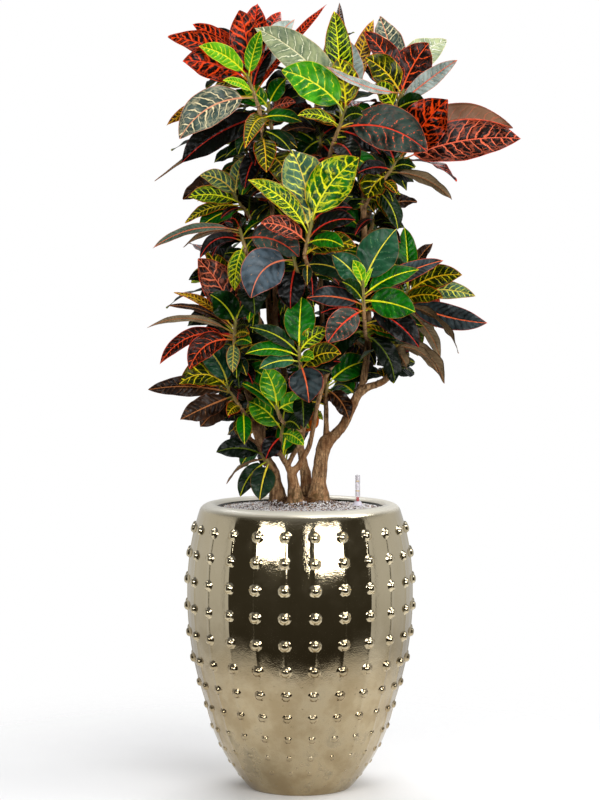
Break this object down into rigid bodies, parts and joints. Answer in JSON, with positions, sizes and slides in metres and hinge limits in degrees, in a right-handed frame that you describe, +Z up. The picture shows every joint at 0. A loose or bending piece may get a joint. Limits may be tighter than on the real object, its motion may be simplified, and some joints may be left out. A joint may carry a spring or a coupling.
{
  "type": "potted croton",
  "caption": "Potted croton: branching woody stems with whorls of large veined red, green and dark leaves, in a studded glazed round planter topped with gravel and a water gauge.",
  "frame": {"origin": "middle of the planter's flat foot, on the floor", "axes": "+Z up; -Y is the front of the plant as pictured; +X is to the right of someone looking at that front"},
  "size_m": [0.7018, 0.4482, 1.4998],
  "materials": {
    "glaze": "polished",
    "soil": "matte",
    "coir": "matte",
    "gravel": "matte",
    "clear_plastic": "gloss",
    "red_plastic": "satin",
    "bark": "matte",
    "leaf_flame": "satin",
    "leaf_green": "gloss",
    "leaf_slate": "gloss",
    "leaf_umber": "satin",
    "leaf_splash": "gloss",
    "leaf_lime": "gloss",
    "leaf_sage": "satin",
    "leaf_night": "gloss"
  },
  "bodies": {
    "root": {"pot": "glaze", "substrate": "soil", "root_ball": "coir", "gravel": "gravel", "gauge_tube": "clear_plastic", "gauge_foot": "clear_plastic", "gauge_float": "red_plastic", "stem_right": "bark", "stem_middle": "bark", "stem_back": "bark", "stem_left": "bark", "shoot_top_left": "leaf_flame", "shoot_upper_left": "leaf_green", "shoot_top_centre": "leaf_slate", "shoot_top_right": "leaf_umber", "shoot_right": "leaf_flame", "shoot_centre": "leaf_splash", "shoot_centre_left": "leaf_slate", "shoot_left": "leaf_night", "shoot_left_high": "leaf_green", "shoot_left_low": "leaf_umber", "shoot_front_right": "leaf_green", "shoot_right_back": "leaf_night", "shoot_right_low": "leaf_umber", "shoot_front_middle": "leaf_green", "shoot_front_low": "leaf_splash", "shoot_green_low": "leaf_lime", "shoot_left_lower": "leaf_umber", "shoot_lowest_left": "leaf_sage", "shoot_middle": "leaf_green", "shoot_behind_centre": "leaf_night", "shoot_right_middle": "leaf_umber", "shoot_back_left_high": "leaf_green", "shoot_back_high": "leaf_green", "shoot_back_right_high": "leaf_flame", "shoot_back_middle": "leaf_flame", "shoot_back_left": "leaf_green", "shoot_back_right": "leaf_green", "shoot_back_low": "leaf_green"}
  },
  "joints": []
}
